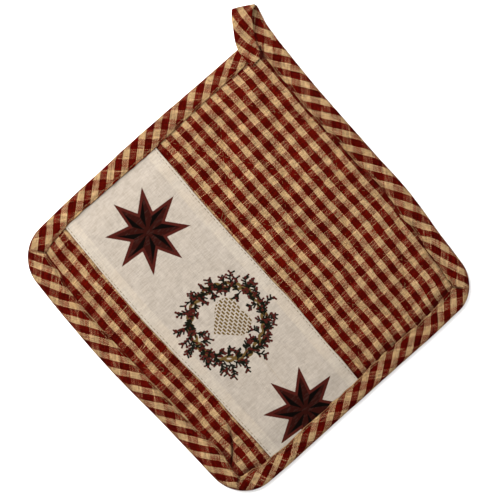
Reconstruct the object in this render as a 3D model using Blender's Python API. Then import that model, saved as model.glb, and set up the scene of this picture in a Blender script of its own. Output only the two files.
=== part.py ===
"""A square quilted pot holder, lying face up on its back.

X runs along the plain band across the front, Y runs up to the edge that
carries the hanging loop, and Z points out of the front. The origin is the
middle of the square, on the flat of the back.

The padded square is one filled solid, with its quilting raised in the points
of its front. The band, the bound edge and the hanging loop are cloth pieces
sewn to it, and each stands a hair's breadth off its neighbour.

Shapes are first worked out on a true square. Two steps then give them the
outline of the real thing: round_corners() rounds the corners, and uneven()
moves every point by what the four sides depart from straight.
"""

import math

import bmesh
import bpy
from mathutils import Vector

MM = 0.001

# ---------------------------------------------------------------- the square
SIDE = 203.2 * MM                  # an eight inch square, over its binding
HALF = SIDE / 2
GAP = 0.3 * MM                     # left between two pieces of cloth

# Corner radii of the outline. The loop's corner is almost square, because the
# binding runs straight on from it.
CORNER_RADIUS = {
    ("left", "bottom"): 22 * MM,
    ("right", "bottom"): 23 * MM,
    ("right", "top"): 20 * MM,
    ("left", "top"): 2.0 * MM,
}

# How far each side lies outside the true square, at seven places along it.
# The places run from left to right, or from bottom to top.
PLACES = [place * MM for place in (-101.6, -60, -30, 0, 30, 60, 101.6)]
OUTWARD = {
    "left": (-1.8, -0.1, 0.4, 0.9, 0.5, 0.0, -0.4),
    "right": (0.9, 1.7, 1.4, 1.3, 1.2, 1.3, 0.1),
    "bottom": (-2.7, -0.6, 0.3, 0.0, -1.7, -2.6, -3.5),
    "top": (2.3, 0.3, -0.1, -0.2, -0.2, -3.1, -6.1),
}

# ---------------------------------------------------------------- the binding
CLOTH = 1.2 * MM                   # the folded bias strip, and its puckers
BINDING_HEIGHT = 6.2 * MM
BINDING_WIDTH = {"left": 11.2 * MM, "right": 10.9 * MM, "bottom": 13.0 * MM, "top": 12.0 * MM}
INNER_RADIUS = 2.5 * MM            # at the corners of its inner edge
ROLL = 3.0 * MM                    # how deep the rounded outer edge is
LIP_EASE = 0.4 * MM                # how far its folded inner edges round off
SCALLOP = 0.45 * MM                # the inner edge wanders this far
SCALLOPS = 26                      # round the whole edge
TUCK_DEPTH = 0.7 * MM              # of the mitre tuck in a quarter of the edge
TUCK_WIDTH = 0.035                 # as a share of that quarter
BINDING_STEPS = 32                 # in each quarter of the edge

# ---------------------------------------------------------------- the padding
EDGE_BOTTOM = CLOTH + GAP          # the padding is pressed thin in the binding
EDGE_TOP = BINDING_HEIGHT - CLOTH - GAP
PAD_HALF = HALF - CLOTH - GAP
LINE_TOP = 4.9 * MM                # along a quilting line
PUFF = 2.0 * MM                    # a diamond's crown above the lines
EDGE_PUFF = 9.0 * MM               # the padding is at full height this far in
GRID_STEP = 4.5 * MM
BACK_HALF = HALF - max(BINDING_WIDTH.values()) - 1.0 * MM
BACK_SLOPE = 3.5 * MM              # from the binding's back lip to the flat

# Quilting: two families of slanted lines, which make diamonds.
DIAMOND_WIDTH = 57.9 * MM
DIAMOND_HEIGHT = 40.4 * MM
CROSSING = (-1.5 * MM, 32.7 * MM)  # two lines cross here

# A deep crease that runs slantwise through the lower right corner.
CREASE_START = (57.0 * MM, -67.0 * MM)
CREASE_END = (84.0 * MM, -86.0 * MM)
CREASE_DEPTH = 1.4 * MM
CREASE_WIDTH = 3.2 * MM

# ------------------------------------------------------------------- the band
BAND_TOP = 5.4 * MM                # its long edges, as heights on the square
BAND_BOTTOM = -67.2 * MM
BAND_CLOTH = 1.0 * MM              # two layers at its hems, with their air
BAND_UNDER = 6.1 * MM              # its underside, away from the binding
BAND_TUCK = 5.5 * MM               # how far its ends run under the binding
BAND_SHOULDER = 1.0 * MM           # the padding rises beside it over this

# ------------------------------------------------------------ the hanging loop
# The strip of the binding runs on past the corner, folds back on itself and
# comes down on the corner's face. A row is a place along the strip: its upper
# edge, its lower edge and the height of its middle, in millimetres.
LOOP_ROWS = [
    # upper x, upper y, lower x, lower y, height
    (-101.7, 104.4, -101.7, 91.4, 3.0),
    (-105.5, 105.6, -107.0, 92.0, 1.7),
    (-109.6, 106.8, -113.0, 92.9, 1.0),
    (-112.3, 107.6, -117.6, 93.8, 1.5),
    (-113.6, 107.6, -120.6, 94.5, 3.5),
    (-113.9, 106.6, -121.1, 94.4, 6.2),
    (-112.6, 103.9, -119.6, 92.9, 8.6),
    (-109.3, 100.3, -115.9, 90.0, 9.7),
    (-105.0, 97.3, -110.9, 86.7, 9.4),
    (-100.5, 94.6, -105.3, 83.1, 8.3),
    (-96.0, 92.4, -99.0, 80.8, 7.5),
    (-91.6, 90.6, -91.4, 79.8, 7.45),
]
LOOP_CLOTH = 1.9 * MM              # four layers of cloth, sewn flat
LOOP_EASE = 0.6 * MM               # how far its two edges round off
LOOP_STEPS = 4                     # sections between two rows


def smooth_step(value):
    """0 below 0, 1 above 1, and a smooth rise between."""
    value = min(max(value, 0.0), 1.0)
    return value * value * (3 - 2 * value)


def spline(values, position):
    """A smooth curve through evenly counted values, at a position among them."""
    last = len(values) - 1
    start = min(max(int(position), 0), last - 1)
    part = position - start
    before, here = values[max(start - 1, 0)], values[start]
    after, beyond = values[start + 1], values[min(start + 2, last)]
    return 0.5 * (2 * here + (after - before) * part
                  + (2 * before - 5 * here + 4 * after - beyond) * part ** 2
                  + (3 * here - before - 3 * after + beyond) * part ** 3)


def outward(side, place):
    """How far a side lies outside the true square, at a place along it."""
    place = min(max(place, PLACES[0]), PLACES[-1])
    index = max(i for i in range(len(PLACES) - 1) if PLACES[i] <= place)
    part = (place - PLACES[index]) / (PLACES[index + 1] - PLACES[index])
    return spline(OUTWARD[side], index + part) * MM


def uneven(x, y):
    """Move a point of the true square to its place on the real outline.

    A side's own departure fades with the square of the distance from it.
    """
    to_right = (1 + x / HALF) / 2
    to_top = (1 + y / HALF) / 2
    dx = outward("right", y) * to_right ** 2 - outward("left", y) * (1 - to_right) ** 2
    dy = outward("top", x) * to_top ** 2 - outward("bottom", x) * (1 - to_top) ** 2
    return x + dx, y + dy


def round_corners(x, y, half, inset):
    """Press the corner patches of a square grid into quarter discs."""
    side = "left" if x < 0 else "right"
    end = "bottom" if y < 0 else "top"
    radius = max(CORNER_RADIUS[side, end] - inset, 1.0 * MM)
    across = (abs(x) - (half - radius)) / radius
    along = (abs(y) - (half - radius)) / radius
    if across <= 0 or along <= 0:
        return x, y
    new_x = half - radius + radius * across * math.sqrt(1 - along ** 2 / 2)
    new_y = half - radius + radius * along * math.sqrt(1 - across ** 2 / 2)
    return math.copysign(new_x, x), math.copysign(new_y, y)


def grid_lines(stops, step):
    """Places of grid lines: every stop, and even steps between the stops."""
    lines = [stops[0]]
    for start, end in zip(stops, stops[1:]):
        count = max(1, round((end - start) / step))
        lines += [start + (end - start) * (i + 1) / count for i in range(count)]
    return lines


def from_inner_edge(x, y):
    """Distance from the binding's inner edge, positive inside it."""
    return min(HALF - BINDING_WIDTH["right"] - x, HALF - BINDING_WIDTH["left"] + x,
               HALF - BINDING_WIDTH["top"] - y, HALF - BINDING_WIDTH["bottom"] + y)


def over_band(y):
    """1 where the band lies, 0 beside it, with a short shoulder between."""
    below = (y - BAND_BOTTOM + GAP + BAND_SHOULDER) / BAND_SHOULDER
    above = (BAND_TOP + GAP + BAND_SHOULDER - y) / BAND_SHOULDER
    return smooth_step(below) * smooth_step(above)


def quilting(x, y):
    """0 on a quilting line and 1 at the crown of a diamond."""
    u = (x - CROSSING[0]) / DIAMOND_WIDTH
    v = (y - CROSSING[1]) / DIAMOND_HEIGHT
    crown = abs(math.sin(math.pi * (u + v)) * math.sin(math.pi * (u - v)))
    return crown ** 0.6


def crease(x, y):
    """The depth of the slanting crease at a point."""
    start, end = Vector(CREASE_START), Vector(CREASE_END)
    run = end - start
    share = min(max((Vector((x, y)) - start).dot(run) / run.length_squared, 0), 1)
    off = (Vector((x, y)) - start - run * share).length
    return CREASE_DEPTH * math.exp(-(off / CREASE_WIDTH) ** 2)


def pad_front(x, y):
    """Height of the padding's front."""
    rise = smooth_step(from_inner_edge(x, y) / EDGE_PUFF)
    inside = smooth_step(from_inner_edge(x, y) / (EDGE_PUFF / 3))
    bare = EDGE_TOP + rise * (LINE_TOP + PUFF * quilting(x, y) - EDGE_TOP) - inside * crease(x, y)
    covered = band_under(x, y) - GAP - inside * 0.5 * MM * (1 - quilting(x, y))
    return bare + over_band(y) * (covered - bare)


def band_under(x, y):
    """Height of the band's underside, which sinks under the binding."""
    rise = smooth_step(from_inner_edge(x, 0) / EDGE_PUFF)
    low = EDGE_TOP - BAND_CLOTH
    return low + rise * (BAND_UNDER - low)


def add_point(bm, x, y, z):
    return bm.verts.new(Vector((*uneven(x, y), z)))


def add_strip(bm, first, second):
    """Faces between two closed rings of points."""
    count = len(first)
    for i in range(count):
        after = (i + 1) % count
        bm.faces.new((first[i], first[after], second[after], second[i]))


def border(rows):
    """The ring of points round a grid, anticlockwise from its first corner."""
    ring = list(rows[0])
    ring += [row[-1] for row in rows[1:]]
    ring += list(reversed(rows[-1][:-1]))
    ring += [row[0] for row in reversed(rows[1:-1])]
    return ring


def add_sheet(bm, rows):
    """Faces of a grid, given as rows of points."""
    for low, high in zip(rows, rows[1:]):
        for i in range(len(low) - 1):
            bm.faces.new((low[i], low[i + 1], high[i + 1], high[i]))


def finish(bm, name, colour, roughness):
    """Turn a closed bmesh into a named object with its own material."""
    bmesh.ops.recalc_face_normals(bm, faces=bm.faces)
    mesh = bpy.data.meshes.new(name)
    bm.to_mesh(mesh)
    bm.free()
    mesh.shade_smooth()
    mesh.set_sharp_from_angle(angle=math.radians(40))
    material = bpy.data.materials.new(name)
    material.use_nodes = True
    surface = material.node_tree.nodes["Principled BSDF"]
    surface.inputs["Base Color"].default_value = (*colour, 1)
    surface.inputs["Roughness"].default_value = roughness
    surface.inputs["Metallic"].default_value = 0.0
    mesh.materials.append(material)
    piece = bpy.data.objects.new(name, mesh)
    bpy.context.scene.collection.objects.link(piece)
    return piece


def front_lines():
    """Grid lines of the front, with some along the long edges of the band."""
    across = grid_lines([-PAD_HALF, -HALF + BINDING_WIDTH["left"], HALF - BINDING_WIDTH["right"],
                         PAD_HALF], GRID_STEP)
    beside = GAP + BAND_SHOULDER
    upward = grid_lines([-PAD_HALF, BAND_BOTTOM - beside, BAND_BOTTOM - GAP, BAND_TOP + GAP,
                         BAND_TOP + beside, PAD_HALF], GRID_STEP)
    return across, upward


def build_pad():
    """The quilted square: gingham front and back over one filling."""
    across, upward = front_lines()
    bm = bmesh.new()
    front = []
    for y in upward:
        row = []
        for x in across:
            px, py = round_corners(x, y, PAD_HALF, HALF - PAD_HALF)
            row.append(add_point(bm, px, py, pad_front(px, py)))
        front.append(row)
    add_sheet(bm, front)

    # The back: thin under the binding, a short slope, and then one flat face.
    places = border([[(x, y) for x in across] for y in upward])
    ring = border(front)
    for half, z in ((PAD_HALF, EDGE_BOTTOM), (BACK_HALF, EDGE_BOTTOM), (BACK_HALF - BACK_SLOPE, 0.0)):
        share = half / PAD_HALF
        lower = []
        for x, y in places:
            px, py = round_corners(x * share, y * share, half, HALF - half)
            lower.append(add_point(bm, px, py, z))
        add_strip(bm, ring, lower)
        ring = lower
    bm.faces.new(ring)
    return finish(bm, "pad", (0.30, 0.09, 0.05), 0.85)


def build_band():
    """The plain band across the front, with its ends under the binding."""
    across, upward = front_lines()
    low = -HALF + BINDING_WIDTH["left"] - BAND_TUCK
    high = HALF - BINDING_WIDTH["right"] + BAND_TUCK
    xs = [low] + [x for x in across if low + 1.0 * MM < x < high - 1.0 * MM] + [high]
    ys = [BAND_BOTTOM] + [y for y in upward if BAND_BOTTOM + MM < y < BAND_TOP - MM] + [BAND_TOP]
    bm = bmesh.new()
    under = [[add_point(bm, x, y, band_under(x, y)) for x in xs] for y in ys]
    over = [[add_point(bm, x, y, band_under(x, y) + BAND_CLOTH) for x in xs] for y in ys]
    add_sheet(bm, under)
    add_sheet(bm, over)
    add_strip(bm, border(under), border(over))
    return finish(bm, "print_band", (0.80, 0.74, 0.64), 0.9)


def half_side(across, along, radius, share):
    """A place on half a side and half its arc: how far along, how far across."""
    straight = along - radius
    run = share * (straight + radius * math.pi / 4)
    turn = max(run - straight, 0) / radius
    return (min(run, straight) + radius * math.sin(turn),
            across - radius + radius * math.cos(turn))


def edge_ring(half_x, half_y, centre, radii):
    """Points round a rounded rectangle, the same count for every quarter.

    They start at the middle of the left side and run clockwise, and each
    quarter holds one corner with half a side on either hand.
    """
    points = []
    for end, side in (("top", "left"), ("top", "right"), ("bottom", "right"), ("bottom", "left")):
        sign_x = -1 if side == "left" else 1
        sign_y = -1 if end == "bottom" else 1
        radius = radii[side, end]
        upright_first = sign_x != sign_y
        for step in range(BINDING_STEPS):
            share = 2 * step / BINDING_STEPS
            on_first = share <= 1
            share = share if on_first else 2 - share
            if on_first == upright_first:
                y, x = half_side(half_x, half_y, radius, share)
            else:
                x, y = half_side(half_y, half_x, radius, share)
            points.append((centre[0] + sign_x * x, centre[1] + sign_y * y))
    return points


def tuck(index):
    """How deep the mitre tuck is, at a place round the edge."""
    quarter, step = divmod(index, BINDING_STEPS)
    if quarter == 0:
        return 0.0                 # the loop's corner has none
    return TUCK_DEPTH * math.exp(-((step / BINDING_STEPS - 0.5) / TUCK_WIDTH) ** 2)


def binding_section(lip, top):
    """The strip cut across: depth from the outer edge, and height.

    It runs from the front lip round the outside to the back lip, and back
    along the inside of the cloth.
    """
    height = BINDING_HEIGHT
    return [
        (lip, height - LIP_EASE), (lip - 3 * LIP_EASE, top), (ROLL, top),
        (0.4 * ROLL, top - 0.7 * MM), (0.1 * ROLL, top - 2.0 * MM), (0, height / 2),
        (0.1 * ROLL, 2.0 * MM), (0.4 * ROLL, 0.7 * MM), (ROLL, 0),
        (lip - 3 * LIP_EASE, 0), (lip, LIP_EASE),
        (lip, CLOTH), (CLOTH, CLOTH), (CLOTH, height - CLOTH), (lip, height - CLOTH),
    ]


def build_binding():
    """The bias strip that wraps the whole edge, front and back."""
    wide = BINDING_WIDTH
    outer = edge_ring(HALF, HALF, (0, 0), CORNER_RADIUS)
    inner = edge_ring(HALF - (wide["left"] + wide["right"]) / 2,
                      HALF - (wide["top"] + wide["bottom"]) / 2,
                      ((wide["left"] - wide["right"]) / 2, (wide["bottom"] - wide["top"]) / 2),
                      dict.fromkeys(CORNER_RADIUS, INNER_RADIUS))
    bm = bmesh.new()
    rings = []
    for index, (outside, inside) in enumerate(zip(outer, inner)):
        outside, inside = Vector(outside), Vector(inside)
        inward = (inside - outside).normalized()
        lip = (inside - outside).length + SCALLOP * math.sin(math.tau * SCALLOPS * index / len(outer))
        ring = []
        for depth, z in binding_section(lip, BINDING_HEIGHT - tuck(index)):
            place = outside + inward * depth
            ring.append(add_point(bm, place.x, place.y, z))
        rings.append(ring)
    for ring, after in zip(rings, rings[1:] + rings[:1]):
        add_strip(bm, ring, after)
    return finish(bm, "binding", (0.42, 0.20, 0.12), 0.85)


def build_loop():
    """The hanging loop, open between its two legs."""
    last = len(LOOP_ROWS) - 1
    count = last * LOOP_STEPS
    columns = list(zip(*LOOP_ROWS))
    rows = [[spline(column, i / LOOP_STEPS) * MM for column in columns] for i in range(count + 1)]
    edges = [(Vector((ax, ay, z)), Vector((bx, by, z))) for ax, ay, bx, by, z in rows]
    middles = [(upper + lower) / 2 for upper, lower in edges]
    bm = bmesh.new()
    rings = []
    for i, (upper, lower) in enumerate(edges):
        along = middles[min(i + 1, count)] - middles[max(i - 1, 0)]
        face = along.cross(lower - upper).normalized() * LOOP_CLOTH / 2
        ease = (lower - upper).normalized() * LOOP_EASE
        ring = [upper, upper + ease + face, lower - ease + face, lower,
                lower - ease - face, upper + ease - face]
        rings.append([bm.verts.new(point) for point in ring])
    for ring, after in zip(rings, rings[1:]):
        add_strip(bm, ring, after)
    bm.faces.new(rings[0])
    bm.faces.new(rings[-1])
    return finish(bm, "hanging_loop", (0.42, 0.20, 0.12), 0.85)


def main():
    for old in list(bpy.data.objects):
        bpy.data.objects.remove(old, do_unlink=True)
    build_pad()
    build_band()
    build_binding()
    build_loop()


main()
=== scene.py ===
"""The looks of a square quilted pot holder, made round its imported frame.

It lies face up. X runs along the plain band, Y up to the edge that the
hanging loop's strip runs along, and Z out of the front. Sizes here are in
millimetres, and make_piece() turns them into metres.

Shapes are worked out on a true square, as in the frame's own source, and
uneven() then gives them the outline of the real thing.
"""

import math

import bmesh
import bpy
import numpy as np
from mathutils import Matrix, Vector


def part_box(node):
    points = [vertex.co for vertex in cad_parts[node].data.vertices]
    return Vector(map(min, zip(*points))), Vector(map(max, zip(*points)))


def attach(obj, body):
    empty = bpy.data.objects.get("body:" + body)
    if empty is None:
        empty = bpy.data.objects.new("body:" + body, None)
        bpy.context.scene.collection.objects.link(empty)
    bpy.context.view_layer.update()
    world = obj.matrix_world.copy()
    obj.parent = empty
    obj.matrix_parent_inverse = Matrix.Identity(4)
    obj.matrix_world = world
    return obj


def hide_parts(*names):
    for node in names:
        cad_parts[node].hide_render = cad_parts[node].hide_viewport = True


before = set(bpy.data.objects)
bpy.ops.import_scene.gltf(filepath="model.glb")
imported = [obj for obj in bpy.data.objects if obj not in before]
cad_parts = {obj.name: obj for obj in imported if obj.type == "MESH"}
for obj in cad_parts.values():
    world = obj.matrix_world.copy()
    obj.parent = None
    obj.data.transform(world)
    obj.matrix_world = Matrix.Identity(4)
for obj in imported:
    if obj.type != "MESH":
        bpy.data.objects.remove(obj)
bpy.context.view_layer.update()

MM = 0.001

# ---------------------------------------------------------------- the square
HALF = 101.6                       # half of eight inches, over the binding
SIDES = ("top", "right", "bottom", "left")
CORNER_RADIUS = {
    ("left", "bottom"): 22.0,
    ("right", "bottom"): 23.0,
    ("right", "top"): 20.0,
    ("left", "top"): 2.0,
}
# How far past a corner's middle, clockwise, its mitre fold meets the edge.
MITRE_TURN = {("right", "top"): 1.0, ("right", "bottom"): 2.4, ("left", "bottom"): 3.1}
# How far each side bulges out, at places along it.
PLACES = (-101.6, -60, -30, 0, 30, 60, 101.6)
OUTWARD = {
    "left": (-1.8, -0.1, 0.4, 0.9, 0.5, 0.0, -0.4),
    "right": (0.9, 1.7, 1.4, 1.3, 1.2, 1.3, 0.1),
    "bottom": (-2.7, -0.6, 0.3, 0.0, -1.7, -2.6, -3.5),
    "top": (2.3, 0.3, -0.1, -0.2, -0.2, -3.1, -6.1),
}

# How wide the bound edge shows on the front: places along a side, and widths.
SEAM = {
    "left": ((-92, -85, -78, -70, -62, -25, 2, 43, 76, 92),
             (13.6, 13.0, 11.6, 11.0, 10.6, 11.5, 12.2, 10.7, 10.5, 10.4)),
    "right": ((-92, -82, -75, -68, -32, -1, 22, 35, 58, 69, 78, 92),
              (13.0, 12.5, 10.8, 10.2, 10.1, 10.3, 11.1, 11.1, 10.8, 11.2, 12.1, 12.8)),
    "top": ((-92, -74, -60, -45, -30, -25, -15, 0, 12, 27, 31, 38, 45, 56, 64, 78, 92),
            (12.7, 12.7, 12.4, 12.7, 12.6, 11.7, 12.3, 11.8, 11.3, 11.3, 12.7, 13.4, 12.2,
             11.7, 12.7, 13.0, 13.4)),
    "bottom": ((-92, -87, -75, -68, -53, -30, 0, 11, 34, 48, 59, 67, 74, 85, 92),
               (15.2, 15.1, 14.7, 13.1, 12.3, 12.7, 13.2, 12.8, 12.0, 12.3, 13.6, 14.4, 13.3,
                11.5, 11.8)),
}
MEAN_WIDTH = {"left": 11.2, "right": 10.9, "bottom": 13.0, "top": 12.0}

# ---------------------------------------------------------------- the binding
BINDING_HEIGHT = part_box("binding")[1].z / MM
CLOTH = 1.2                        # the folded strip
ROLL = 3.0                         # depth of its rounded outer edge
INNER_RADIUS = 2.5
BINDING_STEPS = 270                # in each quarter of the edge
STRAIGHT_STEPS = 113               # of them along each straight half side
STITCH_IN = 1.35                   # its stitching lies this far from its inner edge
# Rows of the front face, by their distance from the inner edge, and how much
# the first of them are rounded off.
FRONT_DEPTHS = (0, 0.12, 0.35, 0.7, 1.0, 1.35, 1.7, 2.1, 2.8, 3.7, 4.7, 5.8, 7.0, 8.2)
LIP_ROUNDING = {0: 0.75, 1: 0.32, 2: 0.10}
WIDENING = 3                       # rows past this distance spread with the strip
ROLL_ANGLES = (78, 60, 42, 24, 6, -12, -30, -48, -66, -84)
BACK_SHARES = (0.0, 0.2, 0.4, 0.6, 0.78, 0.9, 0.97, 1.0)
BACK_LIP = {0.97: 0.1, 1.0: 0.45}

# ---------------------------------------------------------------- the padding
PAD_HALF = HALF - 1.5
EDGE_BOTTOM = 1.5
EDGE_TOP = 4.7
LINE_TOP = 4.9                     # along a quilting line
PUFF = 2.0
EDGE_PUFF = 7.0
PAD_CELLS = 296                    # of the front's grid
BACK_CELL = 4                      # a cell of the back's grid, in those
BACK_HALF = 87.6
BACK_SLOPE = 3.5
DIAMOND_WIDTH = 57.9
DIAMOND_HEIGHT = 40.4
CROSSING = (-1.5, 32.7)
CREASE_START = (58.0, -71.8)
CREASE_END = (79.3, -88.3)
CREASE_BOW = 7.2
CREASE_DEPTH = 2.7
CREASE_WIDTH = 1.1
CREASE_FADE = 2.6                  # how soon it runs out past its ends

# ------------------------------------------------------------------- the band
BAND_TOP = 5.4
BAND_BOTTOM = -67.2
BAND_MIDDLE = -31.0
BAND_UNDER = 6.1
BAND_CLOTH = 1.0
BAND_END = 5.5                     # how far its ends run under the binding
BAND_CELL = 0.45
HEM = 7.0
HEM_FOLD = 0.5                     # radius of the folded edge
HEM_UNDER = (6.0, 4.0, 2.0)        # rows of the part turned under
TOPSTITCH_IN = 1.25

# ------------------------------------------------------------ the hanging loop
LOOP_ROWS = [
    # upper x, upper y, lower x, lower y, height
    (-88.0, 102.9, -88.0, 91.6, 4.6),
    (-93.0, 103.6, -93.0, 91.4, 5.25),
    (-97.6, 104.0, -97.6, 91.2, 5.4),
    (-101.7, 104.5, -101.7, 91.2, 4.9),
    (-105.5, 105.6, -107.0, 92.0, 3.5),
    (-109.6, 106.8, -113.0, 92.9, 2.0),
    (-112.3, 107.6, -117.6, 93.8, 1.7),
    (-113.6, 107.6, -120.6, 94.5, 3.5),
    (-113.9, 106.6, -121.1, 94.4, 6.2),
    (-112.6, 103.9, -119.6, 92.9, 8.6),
    (-109.3, 100.3, -115.9, 90.0, 9.7),
    (-105.0, 97.3, -110.9, 86.7, 9.4),
    (-100.5, 94.6, -105.3, 83.1, 8.0),
    (-96.0, 92.4, -99.0, 81.0, 6.9),
    (-88.8, 90.4, -88.4, 80.9, 5.9),
]
LOOP_CLOTH = 1.7
LOOP_LEAVES = 3                    # the row where the strip leaves the edge
LOOP_TURNS = 7.2                   # the row where it has turned over
LOOP_STEPS = 14                    # sections between two rows
# Places across the strip, and how thick it is there: its edges are sewn down.
LOOP_ACROSS = (0, 0.012, 0.04, 0.09, 0.12, 0.16, 0.25, 0.38, 0.5,
               0.62, 0.75, 0.84, 0.88, 0.91, 0.96, 0.988, 1.0)
LOOP_THICK = (0, 0.42, 0.82, 0.98, 0.86, 1.0, 1.08, 1.1, 1.1,
              1.1, 1.08, 1.0, 0.86, 0.98, 0.82, 0.42, 0)

# ---------------------------------------------------------------- the gingham
COLUMN = 11.37                     # one repeat across, a light and a dark check
ROW = 8.13                         # one repeat up
LOWER_ROW = 7.9                    # the same below the band
COLUMN_YARNS = 18
ROW_YARNS = 14
# How the front's columns and rows drift, as shares of a repeat. A row of
# numbers belongs to 1, x, y, xx, xy, yy, xxx, xxy, xyy and yyy, where x and y
# are shares of DRIFT_SPAN.
DRIFT_SPAN = 90.0
DRIFT = {
    "upper columns": (-0.15, 0.01, 0.16, 0.12, -0.14, -0.08, -0.07, 0.03, 0.13, -0.13),
    "upper rows": (0.09, -0.18, -0.17, -0.14, 0.17, 0.07, 0.24, 0.24, -0.03, 0.01),
    "lower columns": (0.10, -0.08, 0.16, 0.19, -0.16, -0.21),
    "lower rows": (0.23, -0.01, 0.15, -0.21, -0.05, -0.10),
}
# The same cloth cut on the bias, as each side shows it: the slants of its rows
# and columns in degrees, their pitches, where they start, and how they bend.
BIAS_SPAN = 80.0
BIAS = {
    # row slant, column slant, row pitch, column pitch, row start, column start,
    # row bends (2nd to 4th power), column bends
    "top": (33.7, 37.4, 7.90, 11.21, -0.04, 0.43, (0.54, -0.15, -0.33), (0.18, 0.05, -0.12)),
    "right": (34.6, 32.4, 7.73, 10.40, 0.11, 0.14, (0.40, 0.13, 0.05), (0.36, -0.26, -0.24)),
    "bottom": (34.8, 36.4, 7.76, 11.08, 0.71, 0.69, (0.19, 0.11, -0.04), (0.25, -0.08, -0.06)),
    "left": (41.6, 40.9, 8.25, 11.72, 0.41, 0.76, (0.30, 0.33, -0.09), (0.19, 0.24, 0.35)),
}
# Near the corners the cloth is drawn out of line. For a side and the way
# towards a corner: a place, and what is added there to its columns and to its
# rows, each with how much more of it for every centimetre in X and in Y.
CORNER_DRAW = {
    ("right", 1): ((95.5, -78.2), (0.285, -0.50, -0.17), (0.122, 0.204, -0.125)),
    ("bottom", -1): ((76.6, -93.6), (0.008, 0.019, -0.089), (0.057, 0.076, 0.057)),
    ("bottom", 1): ((-78.9, -93.0), (0.042, -0.057, 0.166), (0.001, -0.050, -0.035)),
    ("left", -1): ((-94.4, -76.3), (-0.052, -0.158, 0.019), (0.073, 0.061, -0.074)),
    ("top", 1): ((78.1, 91.6), (0.024, 0.083, -0.032), (0.150, 0.238, 0.147)),
    ("right", -1): ((95.2, 75.3), (0.071, 0.035, 0.082), (0.143, -0.266, 0.090)),
    ("left", 1): ((-95.0, 67.5), (-0.010, 0.056, -0.043), (-0.052, -0.231, -0.001)),
}
CORNER_SWITCH = 0.004              # of a side: where two sides' cloths meet
# The loop's front leg: its columns and rows round a place, by 1, x, y, xx, xy
# and yy in centimetres.
LOOP_PLACE = (-105.0, 93.0)
LOOP_COLUMNS = (0.879, 0.832, 0.121, -0.018, 0.009, -0.057)
LOOP_CLOTH_ROWS = (1.59, 0.106, -1.25, 0.128, -0.019, -0.002)

# ---------------------------------------------------------------- the colours
TAN = (0.1937, 0.1228, 0.0604)
TAN_PATCH = (0.1723, 0.1034, 0.0443)
TAN_STAIN = (0.1446, 0.0831, 0.0332)
PALE_MIX = (0.1720, 0.1025, 0.0525)    # a tan yarn among dark red ones
DARK_RED = (0.0275, 0.00068, 0.00016)
FADED_RED = (0.0369, 0.0011, 0.00037)
WARM_RED = (0.0540, 0.0011, 0.00037)   # a dark red yarn among tan ones
LIP_PALE = (0.15, 0.098, 0.044)            # along the binding's inner edge
# painted shade for the hollows by the seams, in the crease and along the mitre folds
PAINTED_SHADE = (0.013, 0.0035, 0.0018)
CREAM = (0.2369, 0.2062, 0.1692)
CREAM_CLOUD = (0.2308, 0.1908, 0.1477)
SINGLE = (0.2185, 0.1895, 0.1588)      # the band where it is one layer
SINGLE_PATCH = (0.1938, 0.1668, 0.1385)
# dirt and painted shade along the band's topstitching and its pressed line
DIRT_AND_SHADE = (0.1538, 0.1169, 0.0738)
KHAKI = (0.058, 0.034, 0.0095)
LEAF = (0.0022, 0.0027, 0.0013)
BERRY = (0.031, 0.0050, 0.0034)
MAROON = (0.0125, 0.0019, 0.0012)
NIGHT = (0.0011, 0.0006, 0.0004)
THREAD = (0.1046, 0.0462, 0.0209)
PALE_THREAD = (0.125, 0.080, 0.038)    # along the binding
BROWN_THREAD = (0.052, 0.034, 0.016)   # along the band
DARK_THREAD = (0.021, 0.0024, 0.0009)  # in the bar tack
INKS = {"hatch": KHAKI, "vine": KHAKI, "star": MAROON, "rim": BERRY, "facet": NIGHT,
        "twig": LEAF, "berry": BERRY}
INK_EDGE = 0.16
MUSLIN_YARN = 0.52
BRICK_WIDTH, BRICK_HEIGHT = 3.3, 1.75  # of the hatching


# ============================================================== small formulas
def smooth(value):
    """0 below 0, 1 above 1, and a smooth rise between."""
    value = np.clip(value, 0.0, 1.0)
    return value * value * (3 - 2 * value)


def ridge(distance, width):
    """1 on a line and 0 well away from it."""
    return np.exp(-(distance / width) ** 2)


def spline(values, position):
    """A smooth curve through evenly counted values, at positions among them."""
    values = np.asarray(values, float)
    last = len(values) - 1
    start = np.clip(np.floor(position).astype(int), 0, last - 1)
    part = position - start
    before, here = values[np.maximum(start - 1, 0)], values[start]
    after, beyond = values[start + 1], values[np.minimum(start + 2, last)]
    return 0.5 * (2 * here + (after - before) * part
                  + (2 * before - 5 * here + 4 * after - beyond) * part ** 2
                  + (3 * here - before - 3 * after + beyond) * part ** 3)


def spline_at(places, values, place):
    """The same curve, with its values at uneven places."""
    places = np.asarray(places, float)
    place = np.clip(place, places[0], places[-1])
    index = np.clip(np.searchsorted(places, place, side="right") - 1, 0, len(places) - 2)
    return spline(values, index + (place - places[index]) / (places[index + 1] - places[index]))


def spline_rows(rows, count):
    """Points evenly counted along the smooth curve through a table's rows."""
    position = np.linspace(0, len(rows) - 1, count)
    return np.stack([spline(column, position) for column in zip(*rows)], -1)


def wander(x, y, size, seed):
    """Smooth noise from -1 to 1, in bumps about size across."""
    x = np.asarray(x, float) / size + 17.31 * seed
    y = np.asarray(y, float) / size + 9.17 * seed
    left, low = np.floor(x), np.floor(y)
    to_right, to_top = smooth(x - left), smooth(y - low)

    def corner(i, j):
        value = np.sin((left + i) * 127.1 + (low + j) * 311.7 + seed * 74.7) * 43758.5453
        return 2 * (value - np.floor(value)) - 1

    below = corner(0, 0) * (1 - to_right) + corner(1, 0) * to_right
    above = corner(0, 1) * (1 - to_right) + corner(1, 1) * to_right
    return below * (1 - to_top) + above * to_top


def run_length(line):
    """Distance along a line of points, from its first."""
    steps = np.linalg.norm(np.diff(line, axis=0), axis=1)
    return np.concatenate([[0], np.cumsum(steps)])


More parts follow.
